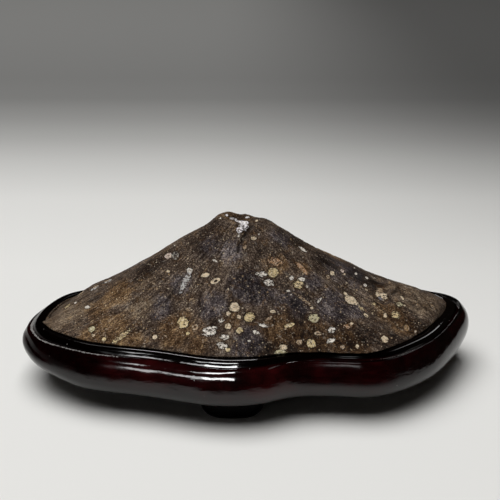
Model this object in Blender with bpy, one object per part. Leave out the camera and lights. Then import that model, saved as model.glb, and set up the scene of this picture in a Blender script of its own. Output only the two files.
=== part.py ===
"""A mountain-shaped viewing stone resting in a carved and lacquered wooden stand.

Units are metres and +Z is up. The origin is the middle of the stand's footprint, on the surface that
its feet stand on. The long axis of stone and stand is X, and the front of both looks along -Y.
"""

import math

import bmesh
import bpy
from mathutils import Vector, geometry, noise

# The gap left between two pieces that touch.
GAP = 0.0003

# The stand's outermost edge, seen from above, from its left end round the front: a long oval with a
# bulge at the front, a shallow hollow to the right of it, and a fuller lobe at the right front.
STAND_OUTLINE = (
    (-0.1187, 0.0010),
    (-0.1153, -0.0140),
    (-0.1055, -0.0280),
    (-0.0820, -0.0430),
    (-0.0480, -0.0520),
    (-0.0250, -0.0595),
    (-0.0090, -0.0620),
    (0.0080, -0.0600),
    (0.0230, -0.0540),
    (0.0390, -0.0515),
    (0.0600, -0.0518),
    (0.0785, -0.0440),
    (0.0970, -0.0260),
    (0.1124, 0.0015),
    (0.1187, 0.0200),
    (0.1140, 0.0345),
    (0.1015, 0.0448),
    (0.0690, 0.0546),
    (0.0240, 0.0620),
    (-0.0310, 0.0605),
    (-0.0760, 0.0515),
    (-0.1030, 0.0400),
    (-0.1148, 0.0220),
)
STAND_SIDES = 84
CURVE_STEPS = 12

# The stand's section. An inset is measured inwards from the outermost edge. The collar's top is a
# Bezier arch between its outer and inner edges, with both handles at the crown height.
UNDERSIDE_HEIGHT = 0.0115
MOULDING_HALF_HEIGHT = 0.0104
MOULDING_HALF_WIDTH = 0.0085
MOULDING_TOP_ANGLE = 72.0
MOULDING_STEPS = 11
GROOVE_INSET = 0.0066
GROOVE_HEIGHT = 0.0313
COLLAR_OUTER_INSET = 0.0069
COLLAR_OUTER_HEIGHT = 0.0321
COLLAR_CROWN_HEIGHT = 0.0350
COLLAR_INNER_INSET = 0.0129
COLLAR_INNER_HEIGHT = 0.0336
COLLAR_STEPS = 6
RECESS_INSET = 0.0136
RECESS_FLOOR = 0.0250

# The stone's plan: its foot line runs just inside the collar, and its summit is a narrow plateau.
STONE_SIDES = 100
STONE_RINGS = 20
STONE_RING_CROWDING = 1.3
FOOT_LINE_HEIGHT = 0.0350
FOOT_LINE_INSET = 0.0132
# Where the foot line leaves its even inset: (x, y, reach, extra inset at the middle).
FOOT_LINE_SHIFTS = (
    (-0.008, -0.060, 0.030, 0.0008),
    (0.050, -0.050, 0.044, -0.0045),
    (-0.116, -0.012, 0.026, -0.0016),
    (-0.100, 0.040, 0.030, 0.0014),
)
# Below its foot line the stone sinks into the recess: (inset past the neck, height) of each ring.
STONE_NECK_INSET = 0.0135
STONE_ROOT = (
    (0.0030, RECESS_FLOOR + GAP),
    (0.0007, 0.0290),
    (0.0001, 0.0348),
)
SUMMIT_CENTRE = (-0.0036, 0.0095)
SUMMIT_HALF_LENGTH = 0.0122
SUMMIT_HALF_DEPTH = 0.0045
BASE_HALF_LENGTH = 0.106
BASE_HALF_DEPTH = 0.047

# The stone's slopes. A flank falls as (1 - s) ** exponent from the summit (s = 0) to the foot line.
SUMMIT_HEIGHT = 0.0850
SUMMIT_FALL_TO_RIGHT = 0.0009
SUMMIT_RISE_TO_BACK = 0.0012
SUMMIT_RAGGEDNESS = 0.0006
RAG_FREQUENCY = 1.7
CRATER_HEIGHT = 0.0826
CRATER_RINGS = (0.72, 0.38)
NOTCH_BEARING = -66.0
NOTCH_HALF_ANGLE = 30.0
NOTCH_DEPTH = 0.0014
LEFT_EXPONENT = 1.18
RIGHT_EXPONENT = 1.15
FRONT_EXPONENT = 1.10
BACK_EXPONENT = 0.82
EDGE_ROUNDING = 0.07
BRIM_THICKNESS = 0.0012

# The smooth facet behind the right-hand crest: a plane through one point, with its slopes along X and Y.
FACET_POINT = Vector((0.0215, 0.0040, 0.0752))
FACET_SLOPE_X = -0.535
FACET_SLOPE_Y = -0.15
FACET_ROUGHNESS = 0.3

# The knoll at the right end: a long low back that falls to the right, cut by two slanting clefts.
KNOLL_START = 0.0720
KNOLL_TOP = 0.0498
KNOLL_FALL = 0.37
KNOLL_BACK_SLOPE = 1.6
KNOLL_CREST_Y = 0.0080
KNOLL_CROWN = 0.0080
KNOLL_HALF_DEPTH = 0.0260
CLEFTS = (
    ((0.0790, 0.0160), (0.0850, -0.0140)),
    ((0.0855, 0.0210), (0.0945, -0.0050)),
)
CLEFT_HALF_WIDTH = 0.0030
CLEFT_DEPTH = 0.0018

# Gullies and ridges that wander down from the summit: bearing and half angle in degrees, and depth.
GULLIES = (
    (-150.0, 13.0, 0.0010),
    (-118.0, 10.0, 0.0012),
    (-97.0, 9.0, -0.0009),
    (-76.0, 8.0, 0.0008),
    (-44.0, 12.0, 0.0010),
    (64.0, 14.0, 0.0016),
    (96.0, 12.0, -0.0012),
    (124.0, 14.0, 0.0018),
)
GULLY_WANDER = 14.0
GULLY_WANDER_SIZE = 0.030
LUMPS_FULL_FROM = 0.15
LUMP_LAYERS = ((0.034, 0.0017), (0.015, 0.0013))

# The feet: rounded pads under the stand, (name, centre, turn in degrees, half length, half depth).
FEET = (
    ("foot_front", (-0.0085, -0.0410), 0.0, 0.0160, 0.0085),
    ("foot_left", (-0.0800, 0.0080), 90.0, 0.0140, 0.0080),
    ("foot_right", (0.0820, 0.0120), 90.0, 0.0140, 0.0080),
    ("foot_back", (0.0020, 0.0420), 0.0, 0.0160, 0.0080),
)
FOOT_PROFILE = ((0.0, 0.70), (0.10, 0.80), (0.35, 0.94), (1.0, 1.0))
FOOT_SIDES = 20
FOOT_SQUARENESS = 2.6

STONE_COLOUR = (0.075, 0.055, 0.042)
STONE_ROUGHNESS = 0.5
LACQUER_COLOUR = (0.032, 0.006, 0.005)
LACQUER_ROUGHNESS = 0.12
FOOT_COLOUR = (0.010, 0.005, 0.004)
FOOT_ROUGHNESS = 0.2
# Edges sharper than this angle, in degrees, are shaded as edges.
SHARP_ANGLE = 40.0


def clear_scene():
    for obj in list(bpy.data.objects):
        bpy.data.objects.remove(obj, do_unlink=True)


def make_material(name, colour, roughness):
    material = bpy.data.materials.new(name)
    material.use_nodes = True
    shader = material.node_tree.nodes["Principled BSDF"]
    shader.inputs["Base Color"].default_value = (*colour, 1.0)
    shader.inputs["Roughness"].default_value = roughness
    shader.inputs["Metallic"].default_value = 0.0
    return material


def smooth_step(value):
    value = min(max(value, 0.0), 1.0)
    return value * value * (3.0 - 2.0 * value)


def angle_between(first, second):
    return abs((first - second + 180.0) % 360.0 - 180.0)


def closed_curve(points, count):
    """`count` evenly spaced points on the smooth closed curve through `points`, centred on its box."""
    corners = [Vector((x, y, 0.0)) for x, y in points]
    number = len(corners)
    dense = []
    for i, here in enumerate(corners):
        before, after, beyond = (corners[(i + k) % number] for k in (-1, 1, 2))
        leave = here + (after - before) / 6.0
        arrive = after - (beyond - here) / 6.0
        dense += geometry.interpolate_bezier(here, leave, arrive, after, CURVE_STEPS + 1)[:-1]
    lengths = [0.0]
    for i, point in enumerate(dense):
        lengths.append(lengths[-1] + (dense[(i + 1) % len(dense)] - point).length)
    ring = []
    step = 0
    for k in range(count):
        wanted = lengths[-1] * k / count
        while lengths[step + 1] < wanted:
            step += 1
        share = (wanted - lengths[step]) / (lengths[step + 1] - lengths[step])
        ring.append(dense[step].lerp(dense[(step + 1) % len(dense)], share))
    middle = [(min(p[i] for p in dense) + max(p[i] for p in dense)) / 2.0 for i in range(3)]
    return [point - Vector(middle) for point in ring]


def inset_ring(ring, insets, height):
    """The ring moved inwards along its own normals, by one inset or one for each point."""
    number = len(ring)
    if isinstance(insets, float):
        insets = [insets] * number
    moved = []
    for i, point in enumerate(ring):
        along = (ring[(i + 1) % number] - ring[i - 1]).normalized()
        inwards = Vector((-along.y, along.x, 0.0))
        moved.append(point + inwards * insets[i] + Vector((0.0, 0.0, height)))
    return moved


def solid_from_rings(name, rings, material, tip=None):
    """One closed solid through the rings. The first ring is capped, the last ends in `tip` or a cap."""
    mesh_data = bmesh.new()
    loops = [[mesh_data.verts.new(point) for point in ring] for ring in rings]
    number = len(loops[0])
    for low, high in zip(loops, loops[1:]):
        for i in range(number):
            j = (i + 1) % number
            mesh_data.faces.new((low[i], low[j], high[j], high[i]))
    mesh_data.faces.new(list(reversed(loops[0])))
    if tip is None:
        mesh_data.faces.new(loops[-1])
    else:
        peak = mesh_data.verts.new(tip)
        for i in range(number):
            mesh_data.faces.new((loops[-1][i], loops[-1][(i + 1) % number], peak))
    bmesh.ops.recalc_face_normals(mesh_data, faces=mesh_data.faces)
    mesh = bpy.data.meshes.new(name)
    mesh_data.to_mesh(mesh)
    mesh_data.free()
    mesh.materials.append(material)
    mesh.shade_smooth()
    mesh.set_sharp_from_angle(angle=math.radians(SHARP_ANGLE))
    obj = bpy.data.objects.new(name, mesh)
    bpy.context.scene.collection.objects.link(obj)
    return obj


def stand_section():
    """(inset, height) from the underside's edge, up the moulding, over the collar, to the recess floor."""
    section = []
    middle = UNDERSIDE_HEIGHT + MOULDING_HALF_HEIGHT
    for k in range(MOULDING_STEPS + 1):
        angle = math.radians(-90.0 + (90.0 + MOULDING_TOP_ANGLE) * k / MOULDING_STEPS)
        inset = MOULDING_HALF_WIDTH * (1.0 - math.cos(angle))
        section.append((inset, middle + MOULDING_HALF_HEIGHT * math.sin(angle)))
    section.append((GROOVE_INSET, GROOVE_HEIGHT))
    outer = Vector((COLLAR_OUTER_INSET, COLLAR_OUTER_HEIGHT))
    inner = Vector((COLLAR_INNER_INSET, COLLAR_INNER_HEIGHT))
    outer_handle = Vector((COLLAR_OUTER_INSET, COLLAR_CROWN_HEIGHT))
    inner_handle = Vector((COLLAR_INNER_INSET, COLLAR_CROWN_HEIGHT))
    for point in geometry.interpolate_bezier(outer, outer_handle, inner_handle, inner, COLLAR_STEPS):
        section.append((point.x, point.y))
    section.append((RECESS_INSET, RECESS_FLOOR))
    return section


def make_stand():
    outline = closed_curve(STAND_OUTLINE, STAND_SIDES)
    rings = [inset_ring(outline, inset, height) for inset, height in stand_section()]
    lacquer = make_material("stand_lacquer", LACQUER_COLOUR, LACQUER_ROUGHNESS)
    return solid_from_rings("stand", rings, lacquer)


def summit_rim(bearing):
    """The height of the summit plateau's rim at a bearing in degrees: 0 is right, 90 is back."""
    angle = math.radians(bearing)
    rise = SUMMIT_RISE_TO_BACK * math.sin(angle) - SUMMIT_FALL_TO_RIGHT * math.cos(angle)
    rise += SUMMIT_RAGGEDNESS * noise.noise(Vector((math.cos(angle), math.sin(angle), 0.0)) * RAG_FREQUENCY)
    notch = smooth_step(1.0 - angle_between(bearing, NOTCH_BEARING) / NOTCH_HALF_ANGLE)
    return SUMMIT_HEIGHT + rise - NOTCH_DEPTH * notch


def flank_exponent(bearing):
    angle = math.radians(bearing)
    side = RIGHT_EXPONENT if math.cos(angle) > 0.0 else LEFT_EXPONENT
    across = BACK_EXPONENT if math.sin(angle) > 0.0 else FRONT_EXPONENT
    return side * math.cos(angle) ** 2 + across * math.sin(angle) ** 2


def cleft_cut(x, y):
    cut = 0.0
    here = Vector((x, y))
    for start, end in CLEFTS:
        nearest, share = geometry.intersect_point_line(here, Vector(start), Vector(end))
        nearest = Vector(start).lerp(Vector(end), min(max(share, 0.0), 1.0))
        cut = max(cut, smooth_step(1.0 - (here - nearest.to_2d()).length / CLEFT_HALF_WIDTH))
    return CLEFT_DEPTH * cut


def knoll_height(x, y):
    away = x - KNOLL_START
    fall = KNOLL_FALL * away if away > 0.0 else -KNOLL_BACK_SLOPE * away
    crown = KNOLL_CROWN * ((y - KNOLL_CREST_Y) / KNOLL_HALF_DEPTH) ** 2
    return KNOLL_TOP - fall - crown - cleft_cut(x, y)


def gully_depth(x, y, bearing, s):
    """How far the gullies cut, and the ridges stand out, a share s of the way down."""
    wander = GULLY_WANDER * s * noise.noise(Vector((x, y, 0.0)) / GULLY_WANDER_SIZE)
    depth = 0.0
    for middle, half_angle, full_depth in GULLIES:
        depth += full_depth * smooth_step(1.0 - angle_between(bearing + wander, middle) / half_angle)
    return depth * math.sin(math.pi * s)


def lumps(x, y):
    here = Vector((x, y, 0.0))
    return sum(swing * noise.noise(here / size) for size, swing in LUMP_LAYERS)


def stone_surface(x, y, bearing, s):
    """The stone's height above (x, y), a share s of the way from the summit's rim to the foot line."""
    top = summit_rim(bearing)
    height = FOOT_LINE_HEIGHT + (top - FOOT_LINE_HEIGHT) * (1.0 - s) ** flank_exponent(bearing)
    height -= gully_depth(x, y, bearing, s)
    rough = lumps(x, y) * min(s / LUMPS_FULL_FROM, 1.0)
    facet = FACET_POINT.z + (x - FACET_POINT.x) * FACET_SLOPE_X + (y - FACET_POINT.y) * FACET_SLOPE_Y
    height = min(height + rough, facet + rough * FACET_ROUGHNESS)
    height = max(height, knoll_height(x, y) + rough, FOOT_LINE_HEIGHT + BRIM_THICKNESS)
    if s > 1.0 - EDGE_ROUNDING:
        drop = (s - 1.0 + EDGE_ROUNDING) / EDGE_ROUNDING
        height = FOOT_LINE_HEIGHT + (height - FOOT_LINE_HEIGHT) * math.sqrt(max(1.0 - drop * drop, 0.0))
    return height


def foot_line_insets(outline):
    """How far inside the stand's edge the stone's foot line runs, at each point of the outline."""
    insets = []
    for point in outline:
        inset = FOOT_LINE_INSET
        for x, y, reach, shift in FOOT_LINE_SHIFTS:
            inset += shift * smooth_step(1.0 - (point.xy - Vector((x, y))).length / reach)
        insets.append(inset)
    return insets


def make_stone():
    outline = closed_curve(STAND_OUTLINE, STONE_SIDES)
    insets = foot_line_insets(outline)
    foot_line = inset_ring(outline, insets, FOOT_LINE_HEIGHT)
    centre = Vector((*SUMMIT_CENTRE, 0.0))
    angles = []
    for point in foot_line:
        away = point - centre
        angles.append(math.atan2(away.y / BASE_HALF_DEPTH, away.x / BASE_HALF_LENGTH))
    summit = []
    for angle in angles:
        reach = Vector((SUMMIT_HALF_LENGTH * math.cos(angle), SUMMIT_HALF_DEPTH * math.sin(angle), 0.0))
        summit.append(centre + reach)
    rings = []
    for deeper, height in STONE_ROOT:
        neck = [max(inset, STONE_NECK_INSET) + deeper for inset in insets]
        rings.append(inset_ring(outline, neck, height))
    for k in range(STONE_RINGS + 1):
        s = (k / STONE_RINGS) ** STONE_RING_CROWDING
        ring = []
        for start, end, angle in zip(foot_line, summit, angles):
            x, y = start.lerp(end, s).xy
            ring.append(Vector((x, y, stone_surface(x, y, math.degrees(angle), 1.0 - s))))
        rings.append(ring)
    for share in CRATER_RINGS:
        ring = []
        for point, angle in zip(summit, angles):
            x, y = centre.lerp(point, share).xy
            rim = summit_rim(math.degrees(angle))
            ring.append(Vector((x, y, CRATER_HEIGHT + (rim - CRATER_HEIGHT) * share * share)))
        rings.append(ring)
    tip = Vector((*SUMMIT_CENTRE, CRATER_HEIGHT))
    return solid_from_rings("stone", rings, make_material("stone", STONE_COLOUR, STONE_ROUGHNESS), tip)


def make_foot(name, centre, turn, half_length, half_depth, material):
    top = UNDERSIDE_HEIGHT - GAP
    rings = []
    for level, scale in FOOT_PROFILE:
        ring = []
        for k in range(FOOT_SIDES):
            angle = 2.0 * math.pi * k / FOOT_SIDES
            x, y = (
                math.copysign(abs(value) ** (2.0 / FOOT_SQUARENESS), value)
                for value in (math.cos(angle), math.sin(angle))
            )
            ring.append(Vector((x * half_length * scale, y * half_depth * scale, top * level)))
        rings.append(ring)
    foot = solid_from_rings(name, rings, material)
    foot.location = (*centre, 0.0)
    foot.rotation_euler.z = math.radians(turn)
    return foot


def main():
    clear_scene()
    make_stand()
    make_stone()
    foot_material = make_material("foot_lacquer", FOOT_COLOUR, FOOT_ROUGHNESS)
    for foot in FEET:
        make_foot(*foot, foot_material)


main()
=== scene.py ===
"""Dresses a mountain-shaped viewing stone and its lacquered stand for rendering.

Units are metres and +Z is up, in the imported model's own frame. The CAD solids give every size and
place: the fine stone is grown from the stone's solid, the fine stand is swept round a slice of the
stand's solid, and each fine foot fills its solid's box. Noise, marks and shader patterns are worked
out in millimetres, because their sizes are easier to read that way.
"""

import math
import random

import bmesh
import bpy
import numpy as np
from mathutils import Euler, Matrix, Vector, noise
from mathutils.bvhtree import BVHTree


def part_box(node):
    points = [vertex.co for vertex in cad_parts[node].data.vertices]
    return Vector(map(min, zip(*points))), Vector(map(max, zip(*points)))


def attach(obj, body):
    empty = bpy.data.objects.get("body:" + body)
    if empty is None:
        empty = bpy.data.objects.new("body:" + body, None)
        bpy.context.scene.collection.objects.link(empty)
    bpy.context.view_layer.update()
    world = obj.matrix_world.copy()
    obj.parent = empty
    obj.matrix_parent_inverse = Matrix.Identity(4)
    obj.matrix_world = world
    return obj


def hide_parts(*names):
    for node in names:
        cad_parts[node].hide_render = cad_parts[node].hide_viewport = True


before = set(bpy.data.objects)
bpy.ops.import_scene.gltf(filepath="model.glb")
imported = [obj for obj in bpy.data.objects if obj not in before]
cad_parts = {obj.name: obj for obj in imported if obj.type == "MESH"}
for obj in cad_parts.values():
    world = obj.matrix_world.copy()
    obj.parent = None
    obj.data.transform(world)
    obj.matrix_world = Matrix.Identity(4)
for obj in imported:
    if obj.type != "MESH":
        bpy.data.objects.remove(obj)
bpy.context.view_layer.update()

MM = 0.001
SEED = 41

# The camera: where it stands, how far it looks down, and its lens.
CAMERA_PLACE = Vector((0.00025, -0.49985, 0.2532))
CAMERA_PITCH = 20.0
CAMERA_LENS = 75.0
CAMERA_SENSOR = 36.0
FRAME_PIXELS = 500

# The floor: pale round the object, and darker far behind it, with painted light and shade standing in for the
# studio lights' falloff. (distance behind the origin, grey).
FLOOR_HALF_SIDE = 12.0
FLOOR_GREYS = (
    (-1.20, 0.36), (-0.60, 0.49), (-0.16, 0.78), (0.16, 0.78), (0.32, 0.71), (0.44, 0.54),
    (0.52, 0.405), (0.61, 0.297), (0.72, 0.212), (0.85, 0.205), (1.10, 0.240), (1.80, 0.34),
)
FLOOR_TINT = (1.0, 0.995, 0.965)
# Far behind, the floor also darkens to the right, as painted shade from the lights standing on the left:
# from and to along X, from and to behind, the share left.
FLOOR_DIM = {"across": (-0.08, 0.33), "behind": (-0.06, 0.66), "left": 0.46}
STUDIO_COLOUR = (0.0110, 0.0085, 0.0065)

# The lights. A broad soft box lights everything and isn't mirrored. The bars are only mirrored: they
# draw the bright lines on the lacquer and the sheen on the waxed stone.
SOFT_BOX = {"place": (-0.55, -0.17, 2.40), "size": (2.1, 3.0), "watts": 81.0}
BAR_AIM = Vector((-0.02, -0.06, 0.03))
# (name, one end, the other end, width, radiance)
BARS = (
    ("bar_high", (0.05, -0.76, 0.93), (-0.45, -0.76, 0.93), 0.15, 28.0),
    ("bar_high_far", (-0.45, -0.76, 0.93), (-0.66, -0.76, 0.93), 0.15, 10.0),
    ("bar_low", (0.04, -0.76, 0.375), (-0.40, -0.76, 0.375), 0.11, 28.0),
    ("bar_low_far", (-0.40, -0.76, 0.375), (-0.64, -0.76, 0.375), 0.11, 10.0),
    ("bar_behind", (0.10, 0.85, 0.95), (-0.45, 0.85, 0.95), 0.15, 14.0),
    ("bar_right", (0.67, -0.04, 0.99), (0.79, 0.75, 0.50), 0.14, 2.6),
)

# The fine stone: its mesh, its summit, and half the plan that its streaks spread over.
STONE_VOXEL = 0.66 * MM
STONE_SMOOTHING = 3
ROUNDING_CORRECTIONS = 3
SUMMIT_MM = (-3.6, 9.5)
PLAN_HALF_MM = (106.0, 47.0)
# The stone is dry, with relief and swells, above its foot: (from this height, fully from this height).
DRY_FROM = (0.0352, 0.0375)
# The stone's foot bulges out over the collar: by how much, over which heights it begins, and where above
# them it has gone and is still full.
FOOT_BULGE = 2.5 * MM
FOOT_BULGE_START = (0.0344, 0.0350)
FOOT_BULGE_END = (0.0480, 0.0360)
# What shows only on the front side, from this Y and fully from this Y.
FRONT = (0.0, -0.020)
# How far the stone's two ends sink behind the front, as (X in mm, mm down), and from where along Y.
STONE_END_DROPS = (
    (-121, 4.4), (-104, 3.5), (-97, 2.1), (-90, 0.8), (-83, 0), (92, 0), (98, 0.8), (104, 2.0), (112, 4.0),
    (121, 4.8),
)
STONE_END_DROP_FROM = (-0.014, 0.004)

# Where the fine stone swells past its solid, or sinks: (pixel column, pixel row, radius, push out), with
# the place as a pixel of the 500 x 500 frame and the rest in millimetres.
SWELLS = (
    (92, 289, 9, 1.5), (74, 296, 8, 0.5), (231, 217, 4, 1.7), (220, 219, 5, 0.7), (246, 219.6, 3.5, 1.3),
    (264, 222, 6, 1.4), (276, 229, 8, 1.1), (290, 236, 9, 0.9), (340, 260, 9, 0.6), (358, 270, 8, 0.9),
    (408, 288, 8, 0.7), (239, 219.5, 4, -1.5), (247, 221, 3, -1.0), (92, 284, 8, -0.4),
    (384, 279.5, 5, -1.4), (261, 219, 3.5, 0.7), (432, 295, 10, -0.9), (442, 300, 9, -2.4),
    (223, 215.5, 3, 0.6), (404, 330, 8, -0.5),
)
SWELL_SPREAD = 1.6
# Cracks and steps in the stone, darkened in their hollows as painted shade: (half width, depth, the pixels
# that it runs through).
CLEFTS = (
    (1.1, 0.9, ((252, 225), (247, 232), (243, 239), (239, 245), (238, 251))),
    (0.6, 0.6, ((235, 225), (238, 227))),
    (0.9, 1.0, ((398, 287), (405, 297), (412, 304), (419, 309))),
    (0.8, 0.6, ((398, 288), (393, 293), (390, 298))),
    (0.6, 0.5, ((405, 286), (411, 291), (415, 295), (420, 301))),
    (0.6, 0.5, ((401, 301), (408, 308), (415, 315), (421, 320))),
    (0.6, 0.5, ((394, 302), (401, 310), (409, 318), (413, 325))),
    (0.5, 0.4, ((412, 296), (419, 303), (427, 311))),
    (0.5, 0.4, ((420, 294), (427, 301), (432, 309))),
    (0.5, 0.4, ((405, 318), (409, 327), (411, 333))),
    (0.5, 0.3, ((386, 290), (390, 300), (396, 309))),
    (0.6, 0.4, ((376, 302), (385, 312), (396, 324))),
    (0.5, 0.3, ((428, 296), (434, 304), (437, 312))),
    (0.5, 0.35, ((199, 300), (201, 308), (199, 316))),
    (0.5, 0.3, ((183, 276), (176, 287), (165, 303))),
    (0.5, 0.3, ((300, 322), (304, 331), (301, 340))),
)
CLEFT_SPREAD = 1.8
# Noise in the mesh, as (size, octaves, offset of the pattern): the clefts' wobble, and the relief's kinds.
CLEFT_WOBBLE = (1.7, 2, 61.0)
CLEFT_WOBBLE_MM = 0.35
RELIEF_NOISES = {
    "streaks": (0.060, 3, 3.0),
    "ribs": (0.17, 2, 9.0),
    "rough": (7.5, 3, 17.0),
    "fine": (1.9, 2, 29.0),
    "pits": (2.6, 2, 43.0),
}
RELIEF_HEIGHTS = {"streaks": 0.22, "ribs": 0.20, "rough": 0.14, "fine": 0.07, "pits": -0.22}
# Pits show where their noise is high, and streaks and ribs on the slopes below the summit.
PITS_FROM = (0.36, 0.58)
SLOPE_FROM = (0.0, 0.35)

# The stone's marks, by kind and tone, among them painted highlights (the glints, and the gloss and painted
# sheen tones): (pixel column, pixel row, half width, half height, turn in degrees), with the half sizes in
# millimetres.
MARKS = {
    ("solid", "cream"): (
        (234.7, 307.1, 2.6, 2.4, 0), (228.4, 313.7, 1.1, 1.1, 0), (239.0, 316.9, 1.1, 1.1, 0),
        (228.0, 326.3, 1.6, 1.4, 20), (272.9, 311.5, 1.5, 0.8, 0), (282.9, 347.2, 1.9, 1.2, 5),
        (154.8, 336.8, 1.2, 1.2, 0), (205.5, 275.1, 2.4, 1.1, -8), (253.8, 238.3, 1.6, 0.9, 0),
        (168.2, 271.3, 0.9, 0.7, 0), (332.3, 273.3, 1.4, 1.3, 0), (344.6, 273.9, 0.7, 0.5, 0),
        (345.4, 293.8, 1.2, 0.8, 30), (311.6, 308.1, 0.9, 0.6, 0), (357.3, 346.4, 1.0, 1.1, 0),
        (351.8, 323.4, 0.9, 0.6, 0), (385.3, 315.4, 1.0, 1.3, 20), (384.8, 339.2, 1.8, 1.7, 0),
        (402.0, 297.6, 1.3, 0.6, 50), (404.9, 305.2, 0.6, 0.5, 0), (256.7, 220.5, 0.9, 0.6, -40),
    ),
    ("pitted", "yellow"): (
        (249.5, 316.9, 2.8, 2.2, -15), (183.0, 322.7, 3.0, 2.6, 50), (311.1, 343.5, 2.3, 2.1, 0),
    ),
    ("flecked", "white"): (
        (221.7, 320.3, 1.4, 0.9, -10), (209.8, 331.1, 3.4, 2.2, -12), (224.6, 337.3, 2.4, 1.2, 8),
        (222.2, 345.6, 2.6, 1.3, 18), (263.8, 325.5, 2.3, 0.9, 14), (256.2, 332.0, 1.9, 0.9, 20),
        (261.6, 274.2, 2.9, 1.3, 2), (268.8, 282.9, 2.7, 1.7, 8), (319.2, 300.6, 2.0, 0.6, -50),
        (331.2, 330.1, 1.8, 1.3, -20), (330.7, 340.6, 2.1, 1.0, -20), (238.8, 235.4, 0.7, 1.0, 10),
    ),
    ("solid", "yellow"): (
        (239.4, 330.6, 1.7, 1.4, -30), (228.0, 349.9, 1.2, 1.0, 0), (289.7, 324.9, 2.8, 0.9, -14),
        (187.8, 333.8, 0.9, 0.9, 0), (273.3, 272.6, 2.5, 2.5, 0), (103.8, 339.3, 1.2, 1.0, 0),
    ),
    ("flecked", "tan"): (
        (269.1, 318.1, 1.9, 0.8, -35), (192.1, 300.0, 1.6, 1.0, 0), (188.7, 309.5, 1.8, 1.0, 0),
        (153.9, 282.8, 0.9, 0.7, 0), (303.0, 299.5, 6.0, 0.7, 36), (317.8, 333.5, 2.0, 1.0, 10),
        (299.2, 342.4, 1.6, 1.3, 0), (380.0, 291.5, 2.2, 2.0, 10), (371.5, 297.0, 1.3, 0.6, 35),
        (244.6, 247.0, 1.0, 1.4, 25),
    ),
    ("solid", "white"): (
        (249.0, 340.9, 0.7, 0.6, 0), (215.0, 260.9, 1.6, 0.6, 30), (258.8, 234.4, 0.5, 0.5, 0),
        (174.4, 245.4, 0.5, 0.5, 0), (189.7, 270.3, 1.5, 1.2, 0), (291.6, 278.0, 1.0, 1.3, -15),
        (302.0, 279.2, 1.5, 1.0, 10), (306.9, 286.6, 0.8, 0.6, 0), (288.2, 290.9, 0.8, 0.5, 0),
        (290.7, 294.7, 0.6, 0.5, 0), (303.0, 248.9, 2.5, 0.9, 34), (75.7, 303.0, 0.8, 0.7, 0),
        (87.3, 307.1, 1.4, 0.8, -10), (220.3, 218.2, 0.5, 0.6, 0),
    ),
    ("solid", "tan"): (
        (285.1, 328.7, 0.8, 0.6, 0), (328.0, 276.7, 1.1, 1.1, 0), (342.7, 347.0, 1.1, 1.0, 0),
        (389.7, 281.9, 0.7, 0.6, 0), (415.4, 331.5, 0.8, 0.6, -45), (80.8, 293.2, 2.6, 0.9, -34),
        (95.6, 287.1, 1.6, 0.6, -30), (107.3, 280.8, 1.8, 0.6, -25),
    ),
    ("solid", "green"): (
        (280.7, 352.6, 3.0, 1.2, 4), (92.0, 329.0, 1.6, 1.6, 0),
    ),
    ("ring", "tan"): (
        (195.0, 327.2, 1.6, 1.4, 0), (222.2, 263.1, 1.1, 0.7, 0),
    ),
    ("ring", "cream"): ((215.5, 280.8, 2.6, 1.2, -24),),
    ("solid", "pink"): (
        (168.1, 255.8, 1.9, 1.4, -25), (342.2, 270.8, 1.1, 1.0, 0),
    ),
    ("solid", "dark"): ((175.3, 255.8, 2.2, 2.3, 0),),
    # Painted sheen and highlight: a bright scratchy patch, and the grazing shine along the left contour.
    ("flecked", "frost"): (
        (185.0, 282.0, 1.5, 6.2, 25), (107.5, 281.6, 2.6, 0.5, -26), (95.0, 288.3, 2.2, 0.5, -28),
    ),
    ("flecked", "orange"): (
        (275.4, 261.6, 3.6, 2.0, 8), (347.5, 326.3, 2.4, 1.1, -8),
    ),
    ("flecked", "yellow"): (
        (298.7, 284.3, 2.5, 2.2, 20), (396.0, 314.8, 2.3, 1.8, 0), (361.5, 309.0, 1.7, 0.8, 48),
        (374.0, 303.5, 1.4, 0.6, 40), (67.4, 306.4, 1.8, 1.2, -35), (120.4, 337.4, 5.6, 1.1, -37),
    ),
    ("solid", "orange"): ((301.9, 268.4, 4.4, 1.2, 47),),
    # Painted highlights: glints on the smooth right facet.
    ("glint", "white"): (
        (355.9, 273.7, 0.8, 0.7, 0), (366.8, 277.8, 0.9, 0.8, 40), (365.1, 285.1, 1.0, 0.9, 0),
        (374.6, 278.0, 1.0, 0.5, 50), (354.5, 268.0, 0.5, 0.5, 0),
    ),
    ("pitted", "cream"): (
        (350.7, 300.2, 3.4, 2.1, 24), (377.5, 294.0, 1.0, 1.8, 15),
    ),
    ("pitted", "green"): ((314.0, 318.6, 2.6, 2.2, 0),),
    ("solid", "ochre"): ((406.8, 327.7, 1.5, 1.7, 0),),
    ("flecked", "cream"): (
        (382.5, 296.5, 2.2, 2.4, -20), (357.0, 304.0, 1.7, 0.8, 42), (366.0, 315.5, 1.4, 0.7, 40),
        (366.5, 290.0, 1.0, 0.5, 35), (93.0, 335.0, 1.1, 0.7, 0),
    ),
    ("solid", "blue"): ((381.1, 298.2, 1.6, 1.5, 0),),
    ("flecked", "green"): ((399.7, 304.2, 1.7, 1.2, 0),),
    # Painted highlights on the crater: glints, and its rim's wet-looking shine.
    ("glint", "gloss"): (
        (226.8, 215.2, 0.7, 0.7, 0), (247.2, 217.3, 1.3, 0.5, -4),
    ),
    ("solid", "gloss"): (
        (232.0, 218.4, 1.5, 0.6, 14), (240.5, 221.8, 1.9, 0.8, 14), (245.6, 223.0, 1.7, 1.1, 6),
    ),
    ("flecked", "gloss"): (
        (235.0, 219.6, 1.6, 0.9, 20), (243.0, 226.2, 2.6, 2.2, 10), (239.4, 230.0, 1.5, 1.6, 10),
    ),
}
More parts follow.
